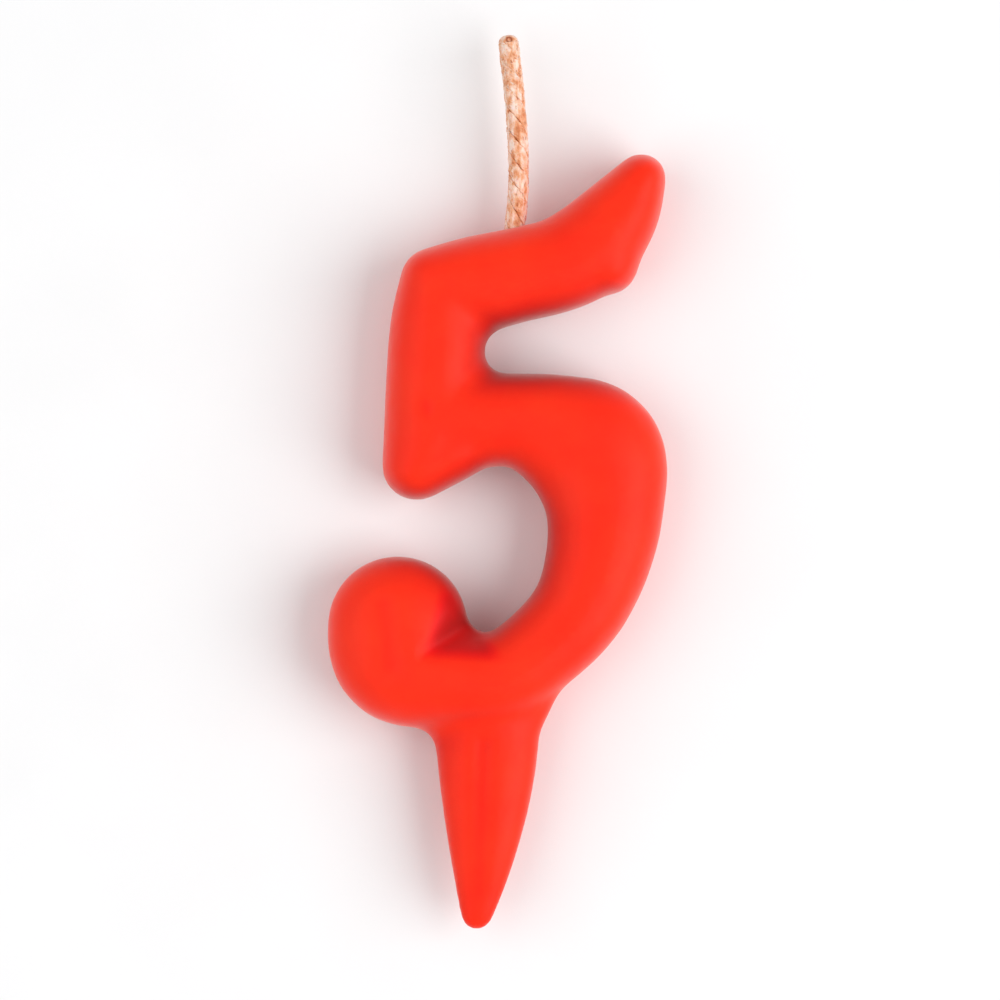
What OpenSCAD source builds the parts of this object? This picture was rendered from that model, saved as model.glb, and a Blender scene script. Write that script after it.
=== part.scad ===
// Number birthday candle in the shape of a five, lying on its back.
// +Y runs from the spike to the wick, +X to the right, +Z from the back to the front.
// The origin is on the flat back, below the middle of the whole candle.

/* [Numeral] */
// Height of the numeral, from the bottom of the bowl to the tip of the flag
numeral_height = 57.5; // [50:0.5:70]
// Width of the numeral, from the ball to the outside of the bowl
numeral_width = 34; // [31:0.5:42]
// Thickness of the numeral, from the flat back to the front
numeral_thickness = 10.5; // [8.5:0.25:13]
// Half width of the thin strokes
stroke_half = 4.75; // [3.8:0.05:5.4]
// Half width of the bowl's shoulder, where it is fattest
bowl_half = 6.95; // [5.4:0.05:7.5]
// Half width of the bowl's right side
side_half = 6; // [5:0.1:6.6]
// Half width of the stroke under the bowl
lower_half = 4.45; // [3.6:0.05:5.2]
// Radius of the ball that ends the lower stroke
ball_radius = 7.05; // [6:0.1:8]
// How much smaller the ball is where the stroke runs into it
ball_neck = 0.05; // [0:0.05:1.5]
// Radius of the rounded corner at the top left
corner_radius = 3.2; // [2.5:0.1:4]
// Radius of the rounded foot of the stem
foot_radius = 3.5; // [2.8:0.1:4.2]
// Radius of the flag's upper tip
flag_tip_radius = 2.5; // [1.9:0.1:3.2]
// Radius of the flag's lower corner
flag_heel_radius = 3.1; // [2.5:0.1:3.7]
// Depth of the valley in the crook, between the ball and the stroke under it
crook_depth = 4.4; // [3:0.1:5.5]
// Squareness of a stroke's cross-section: 2 is an ellipse
section_power = 2.5; // [2:0.1:3.5]
// Width of the flat along a stroke's back, as a share of the stroke
back_flat = 0.5; // [0.3:0.05:0.7]

/* [Spike] */
// Length of the spike below the numeral
spike_length = 20.4; // [16:0.2:32]
// Half width of the spike where it leaves the numeral
spike_root_half = 5.3; // [4:0.1:6]
// Half width of the spike near its rounded tip
spike_tip_half = 1.7; // [1.2:0.1:2.4]
// Thickness of the spike as a share of its width
spike_flatness = 0.6; // [0.56:0.02:0.9]
// Sideways lean of the spike's tip, to the left
spike_lean = 1.05; // [0:0.05:2]

/* [Colour coat] */
// Thickness of the red coat over the cast wax
coat_wall = 0.55; // [0.4:0.05:0.9]

/* [Wick] */
// Length of the wick above the numeral
wick_height = 18.7; // [12:0.1:26]
// Diameter of the wick over its three strands
wick_diameter = 1.9; // [1.4:0.05:2.6]
// Length along the wick of one full turn of a strand
wick_lay = 7.1; // [5.5:0.1:10]
// Gap between the wick and the wax that holds it
wick_clearance = 0.02; // [0.01:0.01:0.05]
// Length of the wick's end that is skinned with wax
tip_wax_length = 6.4; // [3:0.1:9]
// Thickness of that wax skin
tip_wax_wall = 0.08; // [0.06:0.01:0.2]
// Height of the wax dome over the cut ends of the strands
tip_wax_cap = 0.45; // [0.3:0.05:0.8]

/* [Hidden] */

// Detail of the rounded beads that the strokes are hulled from
bead_sides = 20;
profile_steps = 8;
// The step of the profile that the flat back's rounded edge runs up to
side_step = 2;
// Detail of the wick's strands: sides of a strand, and rings in one turn
strand_sides = 8;
rings_per_turn = 11;
strands = 3;
// A stroke as thick as the numeral is at least this wide, and narrower ends are thinner
full_depth_half = 4.4;
// Steps that each gap of a stroke's middle line, and of the wick's, is cut into
bowl_steps = 3;
stroke_steps = 2;
wick_steps = 8;

// The letter form is drawn at these sizes and stretched to the ones above
drawn_height = 57.5;
drawn_width = 34;
drawn_thin = 4.75;
drawn_ball = 7.05;
drawn_side = 6;
drawn_tip = 2.5;
stretch_x = (numeral_width - ball_radius - side_half) / (drawn_width - drawn_ball - drawn_side);
stretch_y = (numeral_height - stroke_half - flag_tip_radius) / (drawn_height - drawn_thin - drawn_tip);

// The middle line of each stroke, with its half width. Zero is the spike's root
bowl_line = [
    [-5.2, 31.4, stroke_half],
    [-0.5, 30.8, stroke_half],
    [3.6, 30.7, stroke_half],
    [7.4, 29.45, (stroke_half + bowl_half) / 2],
    [10.75, 27.25, bowl_half],
    [11.75, 22.6, side_half],
    [11.25, 17.5, (stroke_half + side_half) / 2],
    [9.3, 12.2, stroke_half],
    [5.7, 8.15, lower_half],
    [1.2, 5.1, lower_half],
    [-3.8, 4.85, stroke_half],
    [-8.2, 7.2, ball_radius - ball_neck],
    [-8.95, 10.15, ball_radius],
];
stem_line = [
    [-5.5, 44.8, corner_radius],
    [-5, 40, stroke_half],
    [-5.4, 34.8, stroke_half],
    [-5.6, 29.8, stroke_half],
    [-7.05, 26.2, foot_radius],
];
bar_line = [
    [-5.5, 44.8, corner_radius],
    [-1.3, 44.4, stroke_half],
    [3.2, 45.3, stroke_half],
    [7.4, 46.35, stroke_half],
    [10.4, 48.1, stroke_half],
    [13.55, 51.3, (stroke_half + flag_tip_radius) / 2],
    [15.4, 54.9, flag_tip_radius],
];
heel_point = [12, 46.35, flag_heel_radius];
// Wax between the foot of the stem and the bowl
web_point = [-3.2, 28.2, foot_radius];
// Wax in the corner between the spike and the stroke above it, on the right
root_web_low = [3.2, -0.2, 2];
root_web_high = [5.4, 4.8, 2.2];
// The crook's valley: its shallow end in the ball, its deep end, and its slant from upright
valley_start = [-6.1, 7.5, 0];
valley_end = [-1.8, 10.2, 0];
valley_start_depth = 0.9;
valley_slant = 38;
valley_rise = 1;

// How far each drawn point moves when the numeral is stretched
function placed(p) = [p.x * stretch_x, stroke_half + (p.y - drawn_thin) * stretch_y, p.z];

// A smooth line through the points, with steps points for each gap
function curve_point(a, b, c, d, t) =
    0.5 * (2 * b + (c - a) * t + (2 * a - 5 * b + 4 * c - d) * t * t
    + (3 * b - a - 3 * c + d) * t * t * t);
function smooth(points, steps) = let (last = len(points) - 1) [
    for (i = [0:last - 1], k = [0:steps - 1])
        curve_point(points[max(i - 1, 0)], points[i], points[i + 1], points[min(i + 2, last)], k / steps),
    points[last],
];

// Half the depth of a stroke of this half width
mid_depth = numeral_thickness / 2;
function depth_half(half) = mid_depth * min(1, sqrt(half / full_depth_half));

// A rounded bead of wax: round from the front, a soft rectangle with a flat back from the side
function bead_profile(half, deep) = [
    [0, -deep],
    [back_flat * half, -deep],
    for (k = [side_step:profile_steps]) let (a = -90 + 180 * k / profile_steps, n = 2 / section_power)
        [half * pow(max(0, cos(a)), n), deep * sign(sin(a)) * pow(abs(sin(a)), n)],
];
module bead(p, deep, inset) {
    translate([p.x, p.y, mid_depth])
        rotate_extrude($fn = bead_sides)
            polygon(bead_profile(p.z - inset, deep - inset));
}

// A stroke is a chain of hulls from bead to bead
module stroke(line, inset, steps) {
    beads = [for (p = smooth([for (q = line) placed(q)], steps)) p];
    for (i = [0:len(beads) - 2])
        hull() {
            bead(beads[i], depth_half(beads[i].z), inset);
            bead(beads[i + 1], depth_half(beads[i + 1].z), inset);
        }
}

// The spike tapers to its tip on an outward curve
spike_stations = 9;
spike_root_inside = 3;
spike_root_shift = 0.2;
spike_taper_power = 1.5;
function spike_point(t) = [
    -spike_lean * t * t,
    -t * (spike_length - spike_tip_half),
    spike_tip_half + (spike_root_half - spike_tip_half) * (1 - pow(t, spike_taper_power)),
];
module spike_body(inset) {
    points = [
        [spike_root_shift, spike_root_inside, spike_root_half],
        for (k = [0:spike_stations]) spike_point(k / spike_stations),
    ];
    for (i = [0:len(points) - 2])
        hull() {
            bead(points[i], points[i].z * spike_flatness, inset);
            bead(points[i + 1], points[i + 1].z * spike_flatness, inset);
        }
}

// A valley in the front, which the inset deepens: a hull from one cone to the other
module crook_valley(inset) {
    hull()
        for (end = [[valley_start, valley_start_depth], [valley_end, crook_depth]]) {
            p = placed(end[0]);
            deep = end[1] + inset / sin(valley_slant);
            tall = deep + valley_rise;
            translate([p.x, p.y, numeral_thickness - deep])
                cylinder(h = tall, r1 = 0, r2 = tall * tan(valley_slant), $fn = bead_sides);
        }
}

// The whole candle's wax, inset all round by the given amount
module wax_form(inset) {
    difference() {
        wax_strokes(inset);
        crook_valley(inset);
    }
}
module wax_strokes(inset) {
    stroke(bowl_line, inset, bowl_steps);
    stroke(stem_line, inset, stroke_steps);
    stroke(bar_line, inset, stroke_steps);
    tip = placed(bar_line[len(bar_line) - 1]);
    heel = placed(heel_point);
    inner = placed(bar_line[4]);
    hull() {
        bead(inner, depth_half(inner.z), inset);
        bead(heel, depth_half(heel.z), inset);
        bead(tip, depth_half(tip.z), inset);
    }
    foot = placed(stem_line[len(stem_line) - 1]);
    web = placed(web_point);
    hull() {
        bead(foot, depth_half(foot.z), inset);
        bead(web, depth_half(web.z), inset);
    }
    root_web_top = placed(root_web_high);
    hull() {
        bead(root_web_low, root_web_low.z, inset);
        bead(root_web_top, root_web_top.z, inset);
    }
    spike_body(inset);
}

// The wick's middle line, from its end in the stem, through the bar and out at the top
wick_exit = [2.8, 50.5];
wick_buried = [
    [-6.2, 27.6], [-5.8, 31], [-5.3, 35.5], [-4.4, 39.8], [-1.6, 43.6], [1.3, 46.2], [2.5, 48.6],
];
wick_free = [[0, 0], [0.3, 0.17], [0.3, 0.4], [-0.05, 0.67], [-0.7, 1]];
exit_point = placed([wick_exit.x, wick_exit.y, 0]);
wick_line = concat(
    [for (p = wick_buried) placed([p.x, p.y, 0])],
    [for (p = wick_free) exit_point + [p.x, p.y * (wick_height - tip_wax_cap), 0]]
);
wick_fine = smooth(wick_line, wick_steps);
function line_lengths(line, i = 0, sum = 0) =
    i == len(line) - 1
        ? [sum]
        : concat([sum], line_lengths(line, i + 1, sum + norm(line[i + 1] - line[i])));
wick_at = line_lengths(wick_fine);
wick_total = wick_at[len(wick_at) - 1];
// The point of the wick's middle line at a distance along it, and its direction there,
// which is taken between points this far behind and ahead
way_reach = 0.3;
function wick_gap(s, i = 0) = i >= len(wick_at) - 2 || wick_at[i + 1] >= s ? i : wick_gap(s, i + 1);
function wick_point(s) = let (i = wick_gap(s), f = (s - wick_at[i]) / (wick_at[i + 1] - wick_at[i]))
    wick_fine[i] + f * (wick_fine[i + 1] - wick_fine[i]);
function wick_way(s) = let (d = wick_point(s + way_reach) - wick_point(s - way_reach)) d / norm(d);

// A ring of points square to the wick, at a distance along it
function wick_ring(s, radius, sides) = let (way = wick_way(s))
    [for (k = [0:sides - 1]) let (a = 360 * k / sides)
        wick_point(s) + [0, 0, mid_depth]
        + radius * (cos(a) * [way.y, -way.x, 0] + sin(a) * [0, 0, 1])];

// Three equal round strands fill the wick's diameter, less what their slant takes up
strand_slack = 0.03;
strand_radius = wick_diameter / 2 / (1 + 2 / sqrt(3)) - strand_slack;
strand_orbit = wick_diameter / 2 - strand_radius;
strand_rings = ceil(wick_total / wick_lay * rings_per_turn);
strand_way_reach = 0.05;
function strand_centre(s, start) = let (way = wick_way(s), a = start + 360 * s / wick_lay)
    wick_point(s) + [0, 0, mid_depth]
    + strand_orbit * (cos(a) * [way.y, -way.x, 0] + sin(a) * [0, 0, 1]);
function strand_ring(s, start) =
    let (
        d = strand_centre(s + strand_way_reach, start) - strand_centre(s - strand_way_reach, start),
        ahead = d / norm(d),
        side = cross(ahead, [0, 0, 1]) / norm(cross(ahead, [0, 0, 1])),
        up = cross(side, ahead)
    )
    [for (k = [0:strand_sides - 1]) let (a = 360 * k / strand_sides)
        strand_centre(s, start) + strand_radius * (cos(a) * side + sin(a) * up)];

// A closed tube through rings of points, which all have the same number of sides
module tube(rings) {
    sides = len(rings[0]);
    last = len(rings) - 1;
    faces = concat(
        [[for (k = [sides - 1:-1:0]) k]],
        [[for (k = [0:sides - 1]) last * sides + k]],
        [for (i = [0:last - 1], k = [0:sides - 1])
            let (n = (k + 1) % sides, a = i * sides, b = a + sides)
                each [[a + k, b + n, b + k], [a + k, a + n, b + n]]]
    );
    polyhedron([for (ring = rings) each ring], faces, convexity = 10);
}
module strand(start) {
    tube([for (i = [0:strand_rings]) strand_ring(wick_total * i / strand_rings, start)]);
}

// The round channel that the wax leaves for the wick, closed at its buried end
channel_sides = 12;
channel_pitch = 1.5;
channel_rings = ceil(wick_total / channel_pitch);
channel_length = wick_total + wick_clearance;
channel_radius = (wick_diameter / 2 + wick_clearance) / cos(180 / channel_sides);
module wick_channel() {
    tube([for (i = [0:channel_rings]) let (s = channel_length * i / channel_rings - wick_clearance)
        wick_ring(s, channel_radius, channel_sides)]);
}

// The drawing's own zero is the spike's root, so everything moves to stand over the origin
left_edge = placed(bowl_line[len(bowl_line) - 1]).x - ball_radius;
right_edge = placed(bowl_line[5]).x + side_half;
top_edge = wick_line[len(wick_line) - 1].y + tip_wax_cap;
module over_origin() {
    translate([-(left_edge + right_edge) / 2, -(top_edge - spike_length) / 2, 0])
        children();
}

// The cast wax inside: numeral and spike in one piece, set round the buried wick
module wax_core() {
    color("mistyrose")
        over_origin()
            difference() {
                wax_form(coat_wall);
                wick_channel();
            }
}

// The red wax that the casting was dipped in
module colour_coat() {
    color("orangered")
        over_origin()
            difference() {
                wax_form(0);
                wax_form(coat_wall);
                wick_channel();
            }
}

// One of the wick's three twisted strands, whole from its cut end to its buried end
module wick_strand(k) {
    color("wheat")
        over_origin()
            strand(k * 360 / strands);
}

// The wax skin over the wick's last stretch, with a domed cap over its cut ends.
// Its rings run down the inside, then up the outside and over the dome
tip_wax_sides = 16;
tip_wax_steps = 8;
dome_steps = 3;
dome_end_angle = 78;
tip_wax_from = wick_total - tip_wax_length;
tip_wax_to = wick_total + wick_clearance;
tip_wax_inside = (wick_diameter / 2 + wick_clearance) / cos(180 / tip_wax_sides);
tip_wax_outside = tip_wax_inside + tip_wax_wall;
function tip_wax_at(k) = tip_wax_from + (tip_wax_to - tip_wax_from) * k / tip_wax_steps;
module wick_tip_wax() {
    rings = concat(
        [for (k = [tip_wax_steps:-1:0]) wick_ring(tip_wax_at(k), tip_wax_inside, tip_wax_sides)],
        [for (k = [0:tip_wax_steps]) wick_ring(tip_wax_at(k), tip_wax_outside, tip_wax_sides)],
        [for (k = [1:dome_steps]) let (a = dome_end_angle * k / dome_steps)
            wick_ring(tip_wax_to + tip_wax_cap * sin(a), tip_wax_outside * cos(a), tip_wax_sides)]
    );
    color("peachpuff")
        over_origin()
            tube(rings);
}

wax_core();
colour_coat();
wick_strand(0);  // wick_strand_1
wick_strand(1);  // wick_strand_2
wick_strand(2);  // wick_strand_3
wick_tip_wax();
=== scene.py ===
"""Looks for a number birthday candle: red dipped wax, a waxed three-strand wick, on a white table."""
import math

import bmesh
import bpy
import numpy as np
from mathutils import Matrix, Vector


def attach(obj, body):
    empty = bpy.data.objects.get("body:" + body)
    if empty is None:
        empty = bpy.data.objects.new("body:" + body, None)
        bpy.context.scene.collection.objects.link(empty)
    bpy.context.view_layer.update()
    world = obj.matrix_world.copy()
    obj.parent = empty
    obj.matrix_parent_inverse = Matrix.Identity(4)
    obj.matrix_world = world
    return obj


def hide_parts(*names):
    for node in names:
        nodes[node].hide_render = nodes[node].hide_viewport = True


MM = 0.001

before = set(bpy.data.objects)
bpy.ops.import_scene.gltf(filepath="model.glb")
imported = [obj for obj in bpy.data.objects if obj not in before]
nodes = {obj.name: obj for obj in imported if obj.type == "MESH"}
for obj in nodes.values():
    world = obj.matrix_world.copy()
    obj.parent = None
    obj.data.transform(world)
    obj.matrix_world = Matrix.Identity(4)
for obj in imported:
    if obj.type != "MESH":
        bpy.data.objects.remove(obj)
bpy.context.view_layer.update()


# ---------------------------------------------------------------- camera

# The middle of the picture on the object, from the origin, and the width that the picture takes in
AIM = Vector((0.4, -1.64, 5.25)) * MM
PICTURE_WIDTH = 100 * MM
CAMERA_DISTANCE = 0.62
SENSOR_WIDTH = 36

camera_data = bpy.data.cameras.new("camera")
camera_data.sensor_width = SENSOR_WIDTH
camera_data.lens = SENSOR_WIDTH * CAMERA_DISTANCE / PICTURE_WIDTH
camera_data.clip_start = 0.01
camera = bpy.data.objects.new("camera", camera_data)
camera.location = AIM + Vector((0, 0, CAMERA_DISTANCE))
bpy.context.collection.objects.link(camera)
bpy.context.scene.camera = camera
bpy.context.scene.view_settings.view_transform = "Standard"


# ---------------------------------------------------------------- mesh helpers

def link_mesh(name, mesh):
    piece = bpy.data.objects.new(name, mesh)
    bpy.context.collection.objects.link(piece)
    return piece


def mesh_points(mesh):
    points = np.empty(len(mesh.vertices) * 3)
    mesh.vertices.foreach_get("co", points)
    return points.reshape(-1, 3)


def set_points(mesh, points):
    mesh.vertices.foreach_set("co", np.ascontiguousarray(points, dtype=np.float64).ravel())
    mesh.update()


def applied(piece):
    """The piece's mesh with its modifiers worked in."""
    view = bpy.context.evaluated_depsgraph_get()
    mesh = bpy.data.meshes.new_from_object(piece.evaluated_get(view))
    piece.modifiers.clear()
    piece.data = mesh
    return mesh


def add_remesh(piece, size):
    remesh = piece.modifiers.new("remesh", "REMESH")
    remesh.mode = "VOXEL"
    remesh.voxel_size = size
    remesh.use_smooth_shade = True


def add_smooth(piece, times):
    smooth = piece.modifiers.new("smooth", "SMOOTH")
    smooth.factor = 0.5
    smooth.iterations = times


def add_swell(piece, distance):
    swell = piece.modifiers.new("swell", "DISPLACE")
    swell.direction = "NORMAL"
    swell.mid_level = 0
    swell.strength = distance


def shade_smooth(mesh):
    mesh.polygons.foreach_set("use_smooth", [True] * len(mesh.polygons))


# ---------------------------------------------------------------- smooth lines and closed tubes

UP = np.array((0.0, 0.0, 1.0))


def smooth_route(points, steps):
    """A smooth line through the points, as part.scad draws it."""
    points = np.asarray(points, dtype=float)
    last = len(points) - 1
    line = []
    for i in range(last):
        a, b, c, d = points[max(i - 1, 0)], points[i], points[i + 1], points[min(i + 2, last)]
        for k in range(steps):
            t = k / steps
            bend, twist = 2 * a - 5 * b + 4 * c - d, 3 * b - a - 3 * c + d
            line.append(0.5 * (2 * b + (c - a) * t + bend * t**2 + twist * t**3))
    return np.array(line + [points[last]])


def tube(rings):
    """Points and faces of a closed tube through rings of points, each ring with as many points."""
    count, sides = rings.shape[:2]
    points = np.vstack([rings.reshape(-1, 3), rings[0].mean(axis=0), rings[-1].mean(axis=0)])
    start, end = count * sides, count * sides + 1
    faces = []
    for i in range(count - 1):
        for k in range(sides):
            n = (k + 1) % sides
            faces.append((i * sides + k, i * sides + n, (i + 1) * sides + n, (i + 1) * sides + k))
    for k in range(sides):
        n = (k + 1) % sides
        faces.append((start, n, k))
        faces.append((end, (count - 1) * sides + k, (count - 1) * sides + n))
    return points, faces


def mesh_from(name, tubes):
    """One mesh of closed tubes drawn in millimetres."""
    points, faces = [], []
    for tube_points, tube_faces in tubes:
        shift = sum(len(part) for part in points)
        faces += [tuple(corner + shift for corner in face) for face in tube_faces]
        points.append(tube_points)
    mesh = bpy.data.meshes.new(name)
    mesh.from_pydata((np.vstack(points) * MM).tolist(), [], faces)
    shade_smooth(mesh)
    return mesh


# ---------------------------------------------------------------- the dipped wax

# The spike's root at mid depth, from the origin: all lines are drawn from there, in millimetres
SPIKE_ROOT = np.array((-0.875, -24.4, 5.25))
MID_DEPTH = 5.25
FULL_DEPTH_HALF = 4.4
THIN_END_POWER = 0.25
FRONT_POWER = 2.3
BACK_POWER = 2.5
BACK_FLAT = 0.5
BACK_SLANT = -math.pi / 4
BEAD_SIDES = 32
BEAD_RINGS = 12

# Each stroke's middle line: x, y and half width
BOWL = [
    (-5.2, 31.4, 4.75), (-0.5, 30.8, 4.75), (3.6, 30.7, 4.75), (7.4, 29.45, 5.85), (10.75, 27.25, 6.95),
    (11.75, 22.6, 6), (11.25, 17.5, 5.375), (9.3, 12.2, 4.75), (5.7, 8.15, 4.45), (1.2, 5.1, 4.45),
    (-3.8, 4.85, 4.75), (-8.2, 7.2, 7), (-8.95, 10.15, 7.05),
]
STEM = [(-5.5, 44.8, 3.2), (-5, 40, 4.75), (-5.4, 34.8, 4.75), (-5.6, 29.8, 4.75), (-7.05, 26.2, 3.5)]
BAR = [
    (-5.5, 44.8, 3.2), (-1.3, 44.4, 4.75), (3.2, 45.3, 4.75), (7.4, 46.35, 4.75), (10.4, 48.1, 4.75),
    (13.55, 51.3, 3.625), (15.4, 54.9, 2.5),
]
FLAG_HEEL = (12, 46.35, 3.1)
WEB = (-3.2, 28.2, 3.5)
STROKE_STEPS = 5

SPIKE_TOP = (0.2, 3, 5.3)
SPIKE_BEADS = 16
SPIKE_LENGTH = 20.4
SPIKE_LEAN = 1.05
SPIKE_ROOT_HALF = 5.3
SPIKE_TIP_HALF = 1.7
SPIKE_FLATNESS = 0.6
SPIKE_TAPER_POWER = 1.5

# Wax in the corner between the spike and the stroke above it, on the right
ROOT_WEB = [((3.2, -0.2, 2.0), 2.0), ((5.4, 4.8, 2.2), 2.2)]

# The crook's valley: the ends of its floor, its depth at each, and its slant from upright
VALLEY_FLOOR = ((-6.1, 7.5), (-1.8, 10.2))
VALLEY_DEPTHS = (0.9, 4.4)
VALLEY_SLANT = math.radians(38)
# How softly the valley's floor and rim are rounded
VALLEY_FLOOR_ROUND = 0.6
VALLEY_RIM_ROUND = 1.2

# Painted shade darkens the crook, in a wedge that opens from its inner end: where it starts, its way,
# how fast it widens, how far it runs, and how softly its sides and its end fade
SHADE_START = (-6.8, 6.8)
SHADE_WAY = (0.8, 0.6)
SHADE_SPREAD = 0.85
SHADE_LENGTH = 7.4
SHADE_SIDE_FADE = 2.2
SHADE_END_FADE = 1.6
# Painted shade also darkens a little along the middle of each dent
DENT_SHADE = 0.16
DENT_SHADE_WIDTH = 0.7

# Soft dents in the front: start and end, depth at each, and half width, all in millimetres
DENTS = [
    ((-0.45, -1.5), (-0.85, -16.5), 0.6, 0.35, 0.9),
    ((-6.15, 32.2), (-6.05, 31.6), 0.28, 0.28, 0.7),
    ((-9.7, 6.4), (-10.3, 12.2), 0.32, 0.2, 1.2),
]

# Radius of the soft wax fillets in the corners
FILLET = 1.3 * MM
COARSE = 0.4 * MM
FINE = 0.26 * MM
# Rounds of smoothing: before and after the fillets swell, before the valley is cut, and at the end
SMOOTH_STROKES = 2
SMOOTH_SWOLLEN = 3
SMOOTH_FILLETS = 12
SMOOTH_END = 9


def depth_of(half):
    return MID_DEPTH * min(1, (half / FULL_DEPTH_HALF) ** THIN_END_POWER)


def bead(place, deep=None):
    """Points of a round bead of wax, with a flat back. A stroke is hulled from bead to bead."""
    x, y, half = place
    deep = depth_of(half) if deep is None else deep
    slant = np.linspace(BACK_SLANT, math.pi / 2, BEAD_RINGS)
    power = 2 / np.where(slant < 0, BACK_POWER, FRONT_POWER)
    radius = half * np.cos(slant).clip(0) ** power
    height = deep * np.sign(np.sin(slant)) * np.abs(np.sin(slant)) ** power
    radius = np.concatenate([[BACK_FLAT * half], radius])[:, None]
    height = np.concatenate([[-deep], height])[:, None]
    angle = np.linspace(0, math.tau, BEAD_SIDES, endpoint=False)
    height = np.broadcast_to(height, (len(height), BEAD_SIDES))
    points = [x + radius * np.cos(angle), y + radius * np.sin(angle), height]
    return np.stack(points, axis=-1).reshape(-1, 3) + SPIKE_ROOT


def add_hull(skin, *beads):
    verts = [skin.verts.new(point) for point in np.vstack(beads) * MM]
    result = bmesh.ops.convex_hull(skin, input=verts)
    spare = {v for v in result["geom_interior"] + result["geom_unused"] if isinstance(v, bmesh.types.BMVert)}
    bmesh.ops.delete(skin, geom=list(spare), context="VERTS")


def add_chain(skin, beads):
    for near, far in zip(beads, beads[1:]):
        add_hull(skin, near, far)


def spike_beads():
    t = np.linspace(0, 1, SPIKE_BEADS)
    half = SPIKE_TIP_HALF + (SPIKE_ROOT_HALF - SPIKE_TIP_HALF) * (1 - t**SPIKE_TAPER_POWER)
    line = np.column_stack([-SPIKE_LEAN * t * t, -t * (SPIKE_LENGTH - SPIKE_TIP_HALF), half])
    return [bead(place, SPIKE_FLATNESS * place[2]) for place in np.vstack([SPIKE_TOP, line])]


def wax_strokes():
    """All of the candle's strokes, as one mesh of overlapping closed hulls."""
    skin = bmesh.new()
    for line in (BOWL, STEM, BAR):
        add_chain(skin, [bead(place) for place in smooth_route(line, STROKE_STEPS)])
    add_hull(skin, bead(BAR[4]), bead(FLAG_HEEL), bead(BAR[-1]))
    add_hull(skin, bead(STEM[-1]), bead(WEB))
    add_chain(skin, spike_beads())
    add_hull(skin, *(bead(*web) for web in ROOT_WEB))
    mesh = bpy.data.meshes.new("wax_skin")
    skin.to_mesh(mesh)
    skin.free()
    return mesh


def along(points, start, end):
    """How far along a line each point is, from 0 to 1, and its gap from the line."""
    start, way = np.array(start), np.subtract(end, start)
    share = ((points[:, :2] - start) @ way / (way @ way)).clip(0, 1)
    return share, np.linalg.norm(points[:, :2] - start - share[:, None] * way, axis=1)


def carve_crook(mesh):
    """Cuts the valley between the ball and the stroke under it."""
    points = mesh_points(mesh)
    local = points / MM - SPIKE_ROOT
    share, gap = along(local, *VALLEY_FLOOR)
    depth = VALLEY_DEPTHS[0] + (VALLEY_DEPTHS[1] - VALLEY_DEPTHS[0]) * share
    valley = MID_DEPTH - depth + np.hypot(gap, VALLEY_FLOOR_ROUND) / math.tan(VALLEY_SLANT)
    cut = (0.5 + 0.5 * (local[:, 2] - valley) / VALLEY_RIM_ROUND).clip(0, 1)
    blend = valley * cut + local[:, 2] * (1 - cut) - VALLEY_RIM_ROUND * cut * (1 - cut)
    points[:, 2] = (blend + SPIKE_ROOT[2]) * MM
    set_points(mesh, points)


def press_dents(mesh):
    points = mesh_points(mesh)
    local = points / MM - SPIKE_ROOT
    lift = (local[:, 2] / MID_DEPTH).clip(0, 1)
    for start, end, start_depth, end_depth, reach in DENTS:
        share, gap = along(local, start, end)
        depth = start_depth + (end_depth - start_depth) * share
        points[:, 2] -= depth * np.exp(-((gap / reach) ** 2)) * lift * MM
    set_points(mesh, points)


def paint_crook_shade(mesh):
    """Stores how much painted shade darkens each point, from 0 to 1."""
    local = mesh_points(mesh) / MM - SPIKE_ROOT
    way = np.array(SHADE_WAY)
    away = local[:, :2] - SHADE_START
    ahead = away @ way
    aside = np.abs(away @ np.array((-way[1], way[0])))
    inside = ((SHADE_SPREAD * ahead - aside) / SHADE_SIDE_FADE).clip(0, 1)
    before_end = ((SHADE_LENGTH - ahead) / SHADE_END_FADE).clip(0, 1)
    front = (local[:, 2] / MID_DEPTH + 1).clip(0, 1)
    amount = inside * before_end * front
    painted_shade = amount * amount * (3 - 2 * amount)
    for start, end, _, _, reach in DENTS:
        gap = along(local, start, end)[1]
        painted_shade = np.maximum(painted_shade, DENT_SHADE * front * np.exp(-((gap / (DENT_SHADE_WIDTH * reach)) ** 2)))
    shade_map = mesh.attributes.new("painted_crook_shade", "FLOAT", "POINT")
    shade_map.data.foreach_set("value", painted_shade)


def make_wax_skin():
    skin = link_mesh("wax_skin", wax_strokes())
    add_remesh(skin, COARSE)
    add_smooth(skin, SMOOTH_STROKES)
    add_swell(skin, FILLET)
    add_remesh(skin, COARSE)
    add_smooth(skin, SMOOTH_SWOLLEN)
    add_swell(skin, -FILLET)
    add_remesh(skin, FINE)
    add_smooth(skin, SMOOTH_FILLETS)
    carve_crook(applied(skin))
    press_dents(skin.data)
    add_remesh(skin, FINE)
    add_smooth(skin, SMOOTH_END)
    shade_smooth(applied(skin))
    # Painted shade for the crook and the dents, stored on each point
    paint_crook_shade(skin.data)
    return skin


wax_skin = make_wax_skin()


# ---------------------------------------------------------------- the wick

WICK_ROUTE = np.array([
    (-6.2, 27.6), (-5.8, 31), (-5.3, 35.5), (-4.4, 39.8), (-1.6, 43.6), (1.3, 46.2), (2.5, 48.6),
    (2.8, 50.5), (3.1, 53.6), (3.1, 57.8), (2.75, 62.73), (2.1, 68.75),
])
WICK_RADIUS = 0.95
WICK_LAY = 7.1
STRANDS = 3
# A strand's own middle, from the wick's middle line
STRAND_ORBIT = 0.5
# The wick's outside, as each strand is pressed against it
STRAND_OUTSIDE = 1.03
# The strands press each other flat, and this sets how sharp their corners are
STRAND_SHARPNESS = 5
STRAND_GAP = -0.03
STRAND_SIDES = 72
STRAND_RINGS = 620
YARNS = 9
YARN_LAY = 5.2
YARN_GROOVE = 0.09
WICK_STEPS = 24
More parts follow.
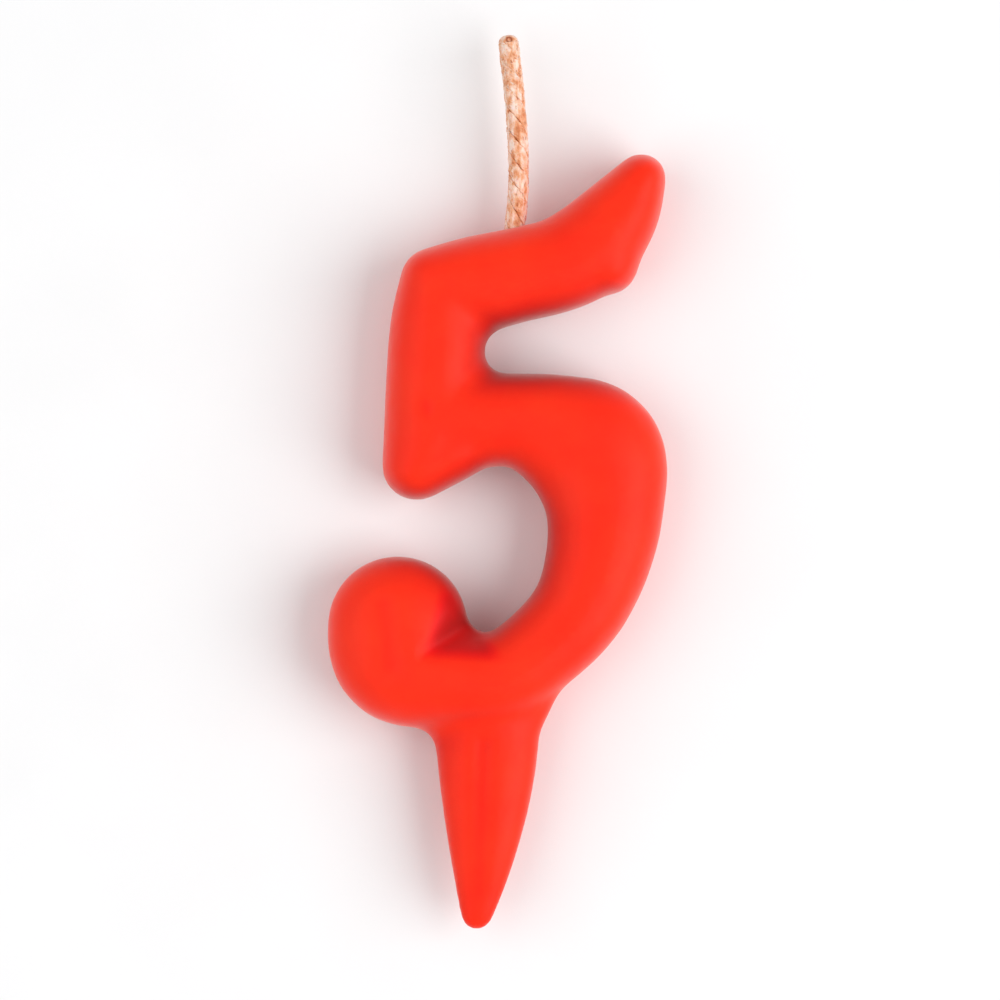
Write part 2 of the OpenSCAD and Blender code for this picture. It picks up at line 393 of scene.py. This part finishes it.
# Unevenness of a strand: broad swells and fine fluff, each with its size and its pitch along the wick
SWELL_SIZE, SWELL_PITCH = 0.055, 1.6
FLUFF_SIZE, FLUFF_PITCH, FLUFF_TURNS = 0.02, 8, 3
# A ripple is a sum of waves: how many, the most turns round, and the range of pitches along
RIPPLE_WAVES = 14
RIPPLE_TURNS = 4
RIPPLE_PITCHES = (0.5, 4.5)


class Line:
    """A line in space, found by the distance along it."""

    def __init__(self, points):
        self.points = points
        self.at = np.concatenate([[0], np.cumsum(np.linalg.norm(np.diff(points, axis=0), axis=1))])
        self.length = self.at[-1]

    def point(self, s):
        base = np.stack([np.interp(s, self.at, self.points[:, k]) for k in range(3)], axis=-1)
        return base + np.maximum(s - self.length, 0)[:, None] * self.end_way

    def way(self, s, reach=0.3):
        step = self.point(s + reach) - self.point(s - reach)
        return step / np.linalg.norm(step, axis=1, keepdims=True)

    @property
    def end_way(self):
        step = self.points[-1] - self.points[-4]
        return step / np.linalg.norm(step)


wick_places = np.column_stack([WICK_ROUTE, np.zeros(len(WICK_ROUTE))]) + SPIKE_ROOT
wick_line = Line(smooth_route(wick_places, WICK_STEPS))


def ripple(seed, across, ahead):
    """Smooth, seeded unevenness over a round surface: across is an angle, ahead is a distance."""
    random = np.random.default_rng(seed)
    total = np.zeros(np.broadcast(across, ahead).shape)
    for _ in range(RIPPLE_WAVES):
        turns, pitch = random.integers(-RIPPLE_TURNS, RIPPLE_TURNS + 1), random.uniform(*RIPPLE_PITCHES)
        total += np.cos(turns * across + ahead * pitch + random.uniform(0, math.tau)) / RIPPLE_WAVES**0.5
    return total


def rings_along(centres, ways, radii, angles):
    """Rings square to a line. radii has a row for each ring and a column for each angle."""
    side = np.cross(ways, UP)
    side /= np.linalg.norm(side, axis=1, keepdims=True)
    up = np.cross(side, ways)
    return centres[:, None] + radii[..., None] * (
        np.cos(angles)[None, :, None] * side[:, None] + np.sin(angles)[None, :, None] * up[:, None]
    )


def strand_reach(angles):
    """How far a pressed strand reaches from its middle: to the wick's outside or the next strand."""
    outward, sideways = np.cos(angles), np.abs(np.sin(angles))
    to_outside = -STRAND_ORBIT * outward + np.sqrt(STRAND_OUTSIDE**2 - (STRAND_ORBIT * sideways) ** 2)
    to_side = STRAND_ORBIT * math.sin(math.pi / STRANDS) - STRAND_GAP
    facing = sideways * math.cos(math.pi / STRANDS) - outward * math.sin(math.pi / STRANDS)
    sides = (facing.clip(0) / to_side) ** STRAND_SHARPNESS
    return (to_outside**-STRAND_SHARPNESS + sides) ** (-1 / STRAND_SHARPNESS)


def make_strand(number):
    """One twisted strand of cotton yarns, whole from its buried end to its tip."""
    start = math.tau * (number - 1) / STRANDS
    s = np.linspace(0, wick_line.length - DOME_BACK, STRAND_RINGS)
    way = wick_line.way(s)
    right = np.column_stack([way[:, 1], -way[:, 0], np.zeros(len(s))])
    turn = (start + math.tau * s / WICK_LAY)[:, None]
    outward = np.cos(turn) * right + np.sin(turn) * UP
    sideways = np.cos(turn) * UP - np.sin(turn) * right
    angles = np.linspace(0, math.tau, STRAND_SIDES, endpoint=False)
    yarns = np.abs(np.sin(YARNS / 2 * (angles[None, :] - math.tau * s[:, None] / YARN_LAY)))
    swell = SWELL_SIZE * ripple(number, angles[None, :], SWELL_PITCH * s[:, None])
    fluff = FLUFF_SIZE * ripple(number + 9, FLUFF_TURNS * angles[None, :], FLUFF_PITCH * s[:, None])
    radii = strand_reach(angles)[None, :] * (1 - YARN_GROOVE * (1 - yarns) ** 2 + swell + fluff)
    rings = (wick_line.point(s) + STRAND_ORBIT * outward)[:, None] + radii[..., None] * (
        np.cos(angles)[None, :, None] * outward[:, None] + np.sin(angles)[None, :, None] * sideways[:, None]
    )
    return link_mesh(f"wick_yarn_{number}", mesh_from(f"wick_yarn_{number}", [tube(rings[:, ::-1])]))


TIP_WAX_LENGTH = 6.4
TIP_WAX_FEATHER = 2.4
TIP_WAX_SIDES = 72
TIP_WAX_RINGS = 150
DOME_HEIGHT = 0.75
# How far before the wick's end the dome starts
DOME_BACK = 0.25
DOME_RINGS = 16
# How round the dome is: below 1 its sides stand straighter
DOME_POWER = 0.8
# The wax's size as a share of the wick's: where it starts, and how much it gains by its dome
TIP_WAX_START, TIP_WAX_GAIN = 0.88, 0.14
TIP_WAX_LOBES = 0.012
# The little brown-rimmed crater in the front of the dome: its middle, its radius and its depth
CRATER = SPIKE_ROOT + (2.2, 68.75, 0.9)
CRATER_RADIUS = 0.26
CRATER_DEPTH = 0.14


def make_tip_wax():
    """Wax that fills the wick's last stretch: it fades in between the strands and ends in a dome."""
    end = wick_line.length - DOME_BACK
    s = np.linspace(end - TIP_WAX_LENGTH, end, TIP_WAX_RINGS)
    dome = np.linspace(0, math.pi / 2, DOME_RINGS)[1:-1]
    s_all = np.concatenate([s, end + DOME_HEIGHT * np.sin(dome)])
    rise = ((s - s[0]) / TIP_WAX_FEATHER).clip(0, 1)
    body = WICK_RADIUS * (TIP_WAX_START + TIP_WAX_GAIN * rise * (2 - rise))
    radius = np.concatenate([body, body[-1] * np.cos(dome) ** DOME_POWER])
    angles = np.linspace(0, math.tau, TIP_WAX_SIDES, endpoint=False)
    uneven = 1 + 0.026 * ripple(31, angles[None, :], 1.4 * s_all[:, None])
    uneven += 0.012 * ripple(32, 3 * angles[None, :], 6 * s_all[:, None])
    lobes = TIP_WAX_LOBES * np.cos(STRANDS * (angles[None, :] - math.tau * s_all[:, None] / WICK_LAY))
    centres, ways = wick_line.point(s_all), wick_line.way(s_all)
    rings = rings_along(centres, ways, radius[:, None] * (uneven + lobes), angles)
    points, faces = tube(rings)
    gap = np.linalg.norm(points - CRATER, axis=1)
    points[:, 2] -= CRATER_DEPTH * np.exp(-((gap / CRATER_RADIUS) ** 2))
    return link_mesh("tip_wax", mesh_from("tip_wax", [(points, faces)]))


wick_yarns = [make_strand(number) for number in range(1, STRANDS + 1)]
tip_wax = make_tip_wax()


# ---------------------------------------------------------------- materials

def new_material(name):
    material = bpy.data.materials.new(name)
    material.use_nodes = True
    return parts_of(material)


def parts_of(material):
    """A material, its node tree and its shader."""
    tree = material.node_tree
    return material, tree, tree.nodes["Principled BSDF"]


def coordinates(tree):
    return tree.nodes.new("ShaderNodeTexCoord").outputs["Object"]


def noise(tree, scale, detail=3.0, roughness=0.5, distortion=0.0, stretch=(1, 1, 1)):
    texture = tree.nodes.new("ShaderNodeTexNoise")
    texture.inputs["Scale"].default_value = scale
    texture.inputs["Detail"].default_value = detail
    texture.inputs["Roughness"].default_value = roughness
    texture.inputs["Distortion"].default_value = distortion
    mapping = tree.nodes.new("ShaderNodeMapping")
    mapping.inputs["Scale"].default_value = stretch
    tree.links.new(coordinates(tree), mapping.inputs["Vector"])
    tree.links.new(mapping.outputs["Vector"], texture.inputs["Vector"])
    return texture.outputs["Fac"]


def ramp(tree, value, stops):
    node = tree.nodes.new("ShaderNodeValToRGB")
    elements = node.color_ramp.elements
    while len(elements) < len(stops):
        elements.new(0.5)
    for element, (place, colour) in zip(elements, stops):
        element.position = place
        element.color = (*colour, 1)
    tree.links.new(value, node.inputs["Fac"])
    return node.outputs["Color"]


def spread(tree, value, low, high):
    node = tree.nodes.new("ShaderNodeMapRange")
    node.inputs["To Min"].default_value = low
    node.inputs["To Max"].default_value = high
    tree.links.new(value, node.inputs["Value"])
    return node.outputs["Result"]


def bump(tree, height, strength, distance, under=None):
    node = tree.nodes.new("ShaderNodeBump")
    node.inputs["Strength"].default_value = strength
    node.inputs["Distance"].default_value = distance
    tree.links.new(height, node.inputs["Height"])
    if under is not None:
        tree.links.new(under, node.inputs["Normal"])
    return node.outputs["Normal"]


def shelter(tree, reach):
    """How open the surface is to its own surroundings: 1 in the open, less in folds."""
    node = tree.nodes.new("ShaderNodeAmbientOcclusion")
    node.only_local = True
    node.samples = 5
    node.inputs["Distance"].default_value = reach
    return node.outputs["AO"]


def mix_colour(tree, share, first, second):
    node = tree.nodes.new("ShaderNodeMix")
    node.data_type = "RGBA"
    node.blend_type = "MULTIPLY"
    node.inputs["Factor"].default_value = share
    tree.links.new(first, node.inputs["A"])
    tree.links.new(second, node.inputs["B"])
    return node.outputs["Result"]


def red_wax():
    material, tree, shader = new_material("red_wax")
    cloud = noise(tree, 130, detail=4)
    colour = ramp(tree, cloud, [(0.3, (0.94, 0.018, 0.001)), (0.7, (0.99, 0.029, 0.003))])
    # Painted shade: ambient occlusion darkens the wax colour in folds and corners.
    painted_fold_shade = ramp(tree, shelter(tree, 0.014), [
        (0.5, (0.25, 0.0, 0.0)), (0.76, (0.6, 0.02, 0.02)), (0.9, (0.95, 0.6, 0.6)), (0.98, (1, 1, 1)),
    ])
    # Painted shade: the stored amount darkens the crook and the middle of each dent toward deep red.
    shade_map = tree.nodes.new("ShaderNodeAttribute")
    shade_map.attribute_name = "painted_crook_shade"
    painted_shade = ramp(tree, shade_map.outputs["Fac"], [
        (0.0, (1, 1, 1)), (0.3, (0.98, 0.4, 0.3)), (0.65, (0.9, 0.02, 0.0)), (1.0, (0.76, 0.0, 0.0)),
    ])
    colour = mix_colour(tree, 1.0, colour, painted_shade)
    tree.links.new(mix_colour(tree, 1.0, colour, painted_fold_shade), shader.inputs["Base Color"])
    tree.links.new(spread(tree, noise(tree, 420, detail=5), 0.42, 0.54), shader.inputs["Roughness"])
    waves = bump(tree, noise(tree, 260, detail=2), 0.25, 0.0006)
    grain = bump(tree, noise(tree, 2400, detail=3), 0.05, 0.0001, waves)
    tree.links.new(grain, shader.inputs["Normal"])
    shader.inputs["IOR"].default_value = 1.44
    shader.inputs["Specular IOR Level"].default_value = 0.2
    shader.inputs["Sheen Weight"].default_value = 0.42
    shader.inputs["Sheen Roughness"].default_value = 0.42
    shader.inputs["Sheen Tint"].default_value = (1.0, 0.8, 0.75, 1)
    shader.inputs["Subsurface Weight"].default_value = 0.5
    shader.inputs["Subsurface Radius"].default_value = (1.0, 0.22, 0.12)
    shader.inputs["Subsurface Scale"].default_value = 0.0006
    return material


def cast_wax():
    material, tree, shader = new_material("cast_wax")
    colour = ramp(tree, noise(tree, 300, detail=4), [(0.3, (0.86, 0.6, 0.54)), (0.7, (0.92, 0.7, 0.64))])
    tree.links.new(colour, shader.inputs["Base Color"])
    tree.links.new(spread(tree, noise(tree, 900), 0.45, 0.6), shader.inputs["Roughness"])
    tree.links.new(bump(tree, noise(tree, 1500), 0.15, 0.0001), shader.inputs["Normal"])
    return material


def waxed_cotton(name, seed, film):
    """Cotton soaked with wax: peach, with orange-brown patches, dark grooves and a pale film."""
    material, tree, shader = new_material(name)
    patches = ramp(tree, noise(tree, 1500 + seed, detail=4, roughness=0.6, stretch=(1, 0.42, 1)), [
        (0.34, (0.62, 0.2, 0.07)), (0.43, (0.79, 0.36, 0.18)), (0.52, (0.88, 0.55, 0.4)), (0.62, film),
    ])
    specks = ramp(tree, noise(tree, 3000 + seed, detail=2, stretch=(1, 0.4, 1)), [
        (0.3, (0.5, 0.27, 0.17)), (0.4, (1, 1, 1)),
    ])
    tree.links.new(mix_colour(tree, 0.75, patches, specks), shader.inputs["Base Color"])
    tree.links.new(spread(tree, noise(tree, 3000), 0.3, 0.55), shader.inputs["Roughness"])
    lumps = bump(tree, noise(tree, 1900 + seed, detail=3), 0.7, 0.00016)
    tree.links.new(bump(tree, noise(tree, 7000, detail=2), 0.4, 0.00005, lumps), shader.inputs["Normal"])
    shader.inputs["Subsurface Weight"].default_value = 0.3
    shader.inputs["Subsurface Radius"].default_value = (1.0, 0.6, 0.35)
    shader.inputs["Subsurface Scale"].default_value = 0.00025
    return material


def wick_cotton(number):
    return waxed_cotton(f"wick_cotton_{number}", 40 * number, (0.92, 0.72, 0.62))


def wick_wax():
    """The same look, with a brown ring round the crater in the dome."""
    material, tree, shader = parts_of(waxed_cotton("wick_wax", 300, (0.9, 0.76, 0.69)))
    gap = tree.nodes.new("ShaderNodeVectorMath")
    gap.operation = "DISTANCE"
    gap.inputs[1].default_value = CRATER * MM
    tree.links.new(coordinates(tree), gap.inputs[0])
    across = spread(tree, gap.outputs["Value"], 0, 1)
    across.node.inputs["From Max"].default_value = 2 * CRATER_RADIUS * MM
    ring = ramp(tree, across, [
        (0.25, (0.9, 0.78, 0.7)), (0.45, (0.42, 0.2, 0.12)), (0.6, (0.5, 0.28, 0.18)), (0.8, (1, 1, 1)),
    ])
    base = shader.inputs["Base Color"]
    tree.links.new(mix_colour(tree, 1.0, base.links[0].from_socket, ring), base)
    return material


for number, yarn in enumerate(wick_yarns, 1):
    yarn.data.materials.append(wick_cotton(number))
    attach(yarn, "root")
    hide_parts(f"wick_strand_{number}")

tip_wax.data.materials.append(wick_wax())
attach(tip_wax, "root")
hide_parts("wick_tip_wax")

wax_skin.data.materials.clear()
wax_skin.data.materials.append(red_wax())
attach(wax_skin, "root")
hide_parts("colour_coat")

nodes["wax_core"].material_slots[0].material = cast_wax()


# ---------------------------------------------------------------- table and light

def white_table():
    material, tree, shader = new_material("white_table")
    colour = ramp(tree, noise(tree, 60, detail=4), [(0.3, (0.86, 0.86, 0.865)), (0.7, (0.88, 0.88, 0.885))])
    tree.links.new(colour, shader.inputs["Base Color"])
    shader.inputs["Roughness"].default_value = 0.7
    shader.inputs["Specular IOR Level"].default_value = 0.2
    tree.links.new(bump(tree, noise(tree, 1800, detail=2), 0.1, 0.0001), shader.inputs["Normal"])
    return material


TABLE_HALF = 1.2
# The table lies just under the candle's flat back
TABLE_DROP = 0.02 * MM


def make_table():
    half = TABLE_HALF
    corners = [(-half, -half, 0), (half, -half, 0), (half, half, 0), (-half, half, 0)]
    mesh = bpy.data.meshes.new("table")
    mesh.from_pydata(corners, [], [(0, 1, 2, 3)])
    mesh.materials.append(white_table())
    table = link_mesh("table", mesh)
    table.location.z = -TABLE_DROP


def soft_light(name, place, size, watts):
    data = bpy.data.lights.new(name, "AREA")
    data.shape = "RECTANGLE"
    data.size, data.size_y = size
    data.energy = watts
    light = bpy.data.objects.new(name, data)
    light.location = place
    light.rotation_euler = (AIM - Vector(place)).to_track_quat("-Z", "Y").to_euler()
    bpy.context.collection.objects.link(light)


def make_world(brightness):
    world = bpy.data.worlds.new("studio")
    world.use_nodes = True
    background = world.node_tree.nodes["Background"]
    background.inputs["Color"].default_value = (1, 1, 1, 1)
    background.inputs["Strength"].default_value = brightness
    bpy.context.scene.world = world


make_table()
make_world(0.5)
soft_light("right_softbox", (0.66, -0.12, 0.66), (0.8, 0.8), 6.9)
soft_light("left_softbox", (-0.6, 0.0, 0.7), (0.9, 0.9), 3.1)
